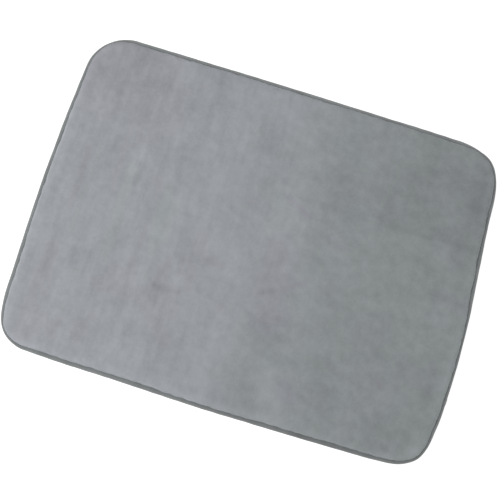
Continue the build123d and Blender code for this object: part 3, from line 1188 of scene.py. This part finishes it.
def stitches(begin, end, arch, radius, sides=6, rings=7):
    """Closed thread loops from begin to end, bowed by arch at their middles, as (nodes, faces), caps and uv.

    begin, end and arch are (n, 3). The line of a stitch is the straight way plus arch times a flattened half
    sine, and its thickness tapers a little at both ends, where it goes into its holes.
    """
    share = np.linspace(0.0, 1.0, rings)
    half_sine = np.sin(math.pi * share)
    bow = half_sine**0.6
    line = begin[:, None] + (end - begin)[:, None] * share[:, None] + arch[:, None] * bow[:, None]
    forward = (end - begin) / np.linalg.norm(end - begin, axis=1, keepdims=True)
    up = arch / np.linalg.norm(arch, axis=1, keepdims=True)
    aside = np.cross(forward, up)
    angle = np.arange(sides) * TURN / sides
    spoke = np.cos(angle)[:, None] * aside[:, None] + np.sin(angle)[:, None] * up[:, None]
    thick = radius * (0.72 + 0.28 * half_sine**0.5)
    nodes = line[:, :, None] + spoke[:, None] * thick[:, None, None]
    faces, start = copies(grid_faces(rings, sides, loop_columns=True), len(begin), rings * sides)
    ring = np.arange(sides)
    caps = np.concatenate([start + ring, start + (rings - 1) * sides + ring[::-1]])
    step = float(np.linalg.norm(end - begin, axis=1).mean()) / (rings - 1)
    uv = corner_pairs(rings - 1, sides, step, np.linspace(0.0, 1.0, sides + 1))
    uv = np.concatenate([np.tile(uv, (len(begin), 1)), np.zeros((caps.size, 2))])
    return (nodes.reshape(-1, 3), faces), caps.tolist(), uv


def thread_run(begin, end, gap, arch, radius):
    """Stitches between pairs of places, each shorter by gap at both ends and bowed up or down by arch."""
    short = (end - begin) * gap
    return stitches(begin + short, end - short, np.tile((0.0, 0.0, arch), (len(begin), 1)), radius)


class BATHMAT_OT_binding_seam(bpy.types.Operator):
    """Lockstitch seam of the binding: needle thread above and bobbin thread below"""

    bl_idname = "bathmat.binding_seam"
    bl_label = "Binding seam"

    END_GAP = 0.06
    BOBBIN_LEVEL = 0.00030

    def execute(self, context):
        size = context.scene.bath_mat_sizes
        edge = Edge(size)
        count = stitch_count(size, edge)
        random = np.random.default_rng(71)
        hole = (np.arange(count) + 0.5 + 0.04 * random.standard_normal(count)) * edge.whole / count
        inset = size.seam_inset + 0.00006 * random.standard_normal(count) + edge.tape_stray(hole) * 0.7
        looks = thread_looks(context.scene.bath_mat_colours)
        level = hem_height(size) + size.tape_thick - SEAM_SUNK + self.lap_rise(size, edge, hole)
        runs = (
            ("needle_stitches", "needle_thread", level, 0.00030, size.thread / 2),
            ("bobbin_stitches", "bobbin_thread", np.full(count, self.BOBBIN_LEVEL), -0.00015, 0.00012),
        )
        point, outward = edge.at(hole)
        for name, node_name, level, arch, radius in runs:
            begin = np.column_stack([point - inset[:, None] * outward, level])
            shape, caps, uv = thread_run(begin, np.roll(begin, -1, axis=0), self.END_GAP, arch, radius)
            put_piece(name, shape, node_name, looks, uv=uv, caps=caps)
        return {"FINISHED"}

    def lap_rise(self, size, edge, hole):
        """How much higher the needle thread lies at each hole, where it crosses the tape's lap."""
        gap = np.abs(hole - edge.nearest(size.length / 2, size.lap_place))
        end = -size.lap_length / 2
        return (size.lap_thick - LAP_SUNK) * ramp(-gap, end - 0.0002, end + 0.0002)


# ---- Care label ----


class BATHMAT_OT_care_label(bpy.types.Operator):
    """Blank woven label sewn flat on the underside, with its stitches"""

    bl_idname = "bathmat.care_label"
    bl_label = "Care label"

    COLUMNS = 65
    ROWS = 33
    THICK = 0.00024
    LIFT = 0.00004
    STITCH = 0.0023
    END_GAP = 0.08
    SEAM_INSET = 0.00025

    def execute(self, context):
        label = self.label(context.scene.bath_mat_colours)
        thread = self.thread(context.scene.bath_mat_colours)
        return {"FINISHED"}

    def label(self, colours):
        """Label: a thin closed sheet that ripples towards its edge, with slightly rounded corners."""
        u, v = np.meshgrid(np.linspace(-1, 1, self.COLUMNS), np.linspace(-1, 1, self.ROWS))
        x = (LABEL_HIGH[0] + LABEL_LOW[0]) / 2 + (LABEL_HIGH[0] - LABEL_LOW[0]) / 2 * u * (1 - 0.012 * v**8)
        y = (LABEL_HIGH[1] + LABEL_LOW[1]) / 2 + (LABEL_HIGH[1] - LABEL_LOW[1]) / 2 * v * (1 - 0.024 * u**8)
        near_edge = ramp(np.maximum(np.abs(u), np.abs(v)), 0.6, 1.0)
        low = float(LABEL_LOW[2]) + 0.00002 * swell(x, y, 0.006, 0.020, 81) * near_edge + self.LIFT
        lower = np.stack([x, y, low], -1).reshape(-1, 3)
        faces = grid_faces(self.ROWS, self.COLUMNS)[:, ::-1]
        loop = grid_rim(np.arange(x.size).reshape(x.shape))
        shape = shell(lower + (0.0, 0.0, self.THICK), lower, faces, loop)
        return put_piece("care_label_blank", shape, "care_label", label_looks(colours))

    def thread(self, colours):
        """Stitches round the label, along a rectangle a little inside its edge."""
        low = np.array(LABEL_THREAD_LOW)[:2] + self.SEAM_INSET
        high = np.array(LABEL_THREAD_HIGH)[:2] - self.SEAM_INSET
        corners = np.array([low, (high[0], low[1]), high, (low[0], high[1])])
        lines = []
        for corner, following in zip(corners, np.roll(corners, -1, axis=0)):
            count = round(float(np.linalg.norm(following - corner)) / self.STITCH)
            place = np.arange(count)[:, None] / count
            lines.append(corner * (1 - place) + following * place)
        begin = np.concatenate(lines)
        begin = np.column_stack([begin, np.full(len(begin), float(LABEL_LOW[2]) + self.LIFT)])
        end = np.roll(begin, -1, axis=0)
        shape, caps, uv = thread_run(begin, end, self.END_GAP, -0.00010, 0.00013)
        looks = thread_looks(colours, "label_thread")
        return put_piece("label_stitches", shape, "label_thread", looks, uv=uv, caps=caps)


# ---- Stage ----


class BATHMAT_OT_stage(bpy.types.Operator):
    """Pale floor, soft studio light and the camera"""

    bl_idname = "bathmat.stage"
    bl_label = "Studio"

    FLOOR_REACH = 9.0
    FLOOR_DROP = 0.0001
    AIM_HEIGHT = 0.003

    def execute(self, context):
        scene = context.scene
        studio = scene.bath_mat_studio
        self.floor(scene)
        self.light(scene, "key_light", studio.key_power, 1.5, (-1.10, -0.55, 1.55), (0.0, 0.0, 0.0))
        self.light(scene, "fill_light", studio.fill_power, 1.0, (1.15, 0.80, 0.75), (0.1, 0.1, 0.0))
        self.air(scene, studio.air)
        self.camera(scene, studio)
        scene.view_settings.view_transform = "Standard"
        return {"FINISHED"}

    def floor(self, scene):
        """Flat square floor, a hair under height 0 so that it doesn't lie in the faces that stand on it."""
        x, y = np.meshgrid((-self.FLOOR_REACH, self.FLOOR_REACH), (-self.FLOOR_REACH, self.FLOOR_REACH))
        nodes = np.stack([x.ravel(), y.ravel(), np.full(4, -self.FLOOR_DROP)], -1)
        mesh = bpy.data.meshes.new("studio_floor")
        mesh.from_pydata(nodes.tolist(), [], grid_faces(2, 2)[:, ::-1].tolist())
        mesh.materials.append(floor_looks(scene.bath_mat_colours, scene.bath_mat_studio.floor_glow))
        floor = bpy.data.objects.new("studio_floor", mesh)
        scene.collection.objects.link(floor)

    def light(self, scene, name, power, side, place, aim):
        """Square area light that points from place at aim."""
        data = bpy.data.lights.new(name, "AREA")
        data.energy = power
        data.size = side
        lamp = bpy.data.objects.new(name, data)
        lamp.location = place
        lamp.rotation_euler = (Vector(aim) - Vector(place)).to_track_quat("-Z", "Y").to_euler()
        scene.collection.objects.link(lamp)

    def air(self, scene, strength):
        """Even white light from all round, which itself looks white."""
        world = bpy.data.worlds.new("studio_air")
        world.use_nodes = True
        nodes, links = world.node_tree.nodes, world.node_tree.links
        light, seen = nodes["Background"], nodes.new("ShaderNodeBackground")
        light.inputs["Strength"].default_value = strength
        mix = nodes.new("ShaderNodeMixShader")
        links.new(nodes.new("ShaderNodeLightPath").outputs["Is Camera Ray"], mix.inputs[0])
        for number, background in enumerate((light, seen), 1):
            background.inputs["Color"].default_value = WHITE
            links.new(background.outputs[0], mix.inputs[number])
        links.new(mix.outputs[0], nodes["World Output"].inputs["Surface"])
        scene.world = world

    def camera(self, scene, studio):
        """Camera nearly straight above the mat: rolled, tilted back and turned, in that order."""
        data = bpy.data.cameras.new("camera")
        data.lens = studio.lens
        data.sensor_width = 36.0
        data.clip_start = 0.01
        camera = bpy.data.objects.new("camera", data)
        turn = (
            Matrix.Rotation(studio.turn, 4, "Z")
            @ Matrix.Rotation(studio.tilt, 4, "X")
            @ Matrix.Rotation(studio.roll, 4, "Z")
        )
        back = turn.to_3x3() @ Vector((0.0, 0.0, 1.0))
        aim = Vector((studio.aim_x, studio.aim_y, self.AIM_HEIGHT))
        camera.matrix_world = Matrix.Translation(aim + back * studio.distance) @ turn
        scene.collection.objects.link(camera)
        scene.camera = camera


# ---- Panel and registration ----


class BATHMAT_PT_panel(bpy.types.Panel):
    """Bath mat's operators in the 3D view's sidebar"""

    bl_idname = "BATHMAT_PT_panel"
    bl_label = "Bath mat"
    bl_space_type = "VIEW_3D"
    bl_region_type = "UI"
    bl_category = "Bath mat"

    def draw(self, context):
        for operator in OPERATORS:
            self.layout.operator(operator.bl_idname)


OPERATORS = (
    BATHMAT_OT_top_cover,
    BATHMAT_OT_backing_cloth,
    BATHMAT_OT_grip_dots,
    BATHMAT_OT_edge_binding,
    BATHMAT_OT_binding_seam,
    BATHMAT_OT_care_label,
    BATHMAT_OT_stage,
)
CLASSES = (BathMatSizes, BathMatColours, BathMatStudio, *OPERATORS, BATHMAT_PT_panel)


def register():
    """Adds the classes and the scene's three groups of settings."""
    for item in CLASSES:
        bpy.utils.register_class(item)
    bpy.types.Scene.bath_mat_sizes = bpy.props.PointerProperty(type=BathMatSizes)
    bpy.types.Scene.bath_mat_colours = bpy.props.PointerProperty(type=BathMatColours)
    bpy.types.Scene.bath_mat_studio = bpy.props.PointerProperty(type=BathMatStudio)


def unregister():
    """Removes what register added."""
    del bpy.types.Scene.bath_mat_studio
    del bpy.types.Scene.bath_mat_colours
    del bpy.types.Scene.bath_mat_sizes
    for item in reversed(CLASSES):
        bpy.utils.unregister_class(item)


def main():
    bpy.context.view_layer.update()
    register()
    bpy.ops.bathmat.stage()
    bpy.ops.bathmat.top_cover()
    bpy.ops.bathmat.backing_cloth()
    bpy.ops.bathmat.grip_dots()
    bpy.ops.bathmat.edge_binding()
    bpy.ops.bathmat.binding_seam()
    bpy.ops.bathmat.care_label()


if __name__ == "__main__":
    main()
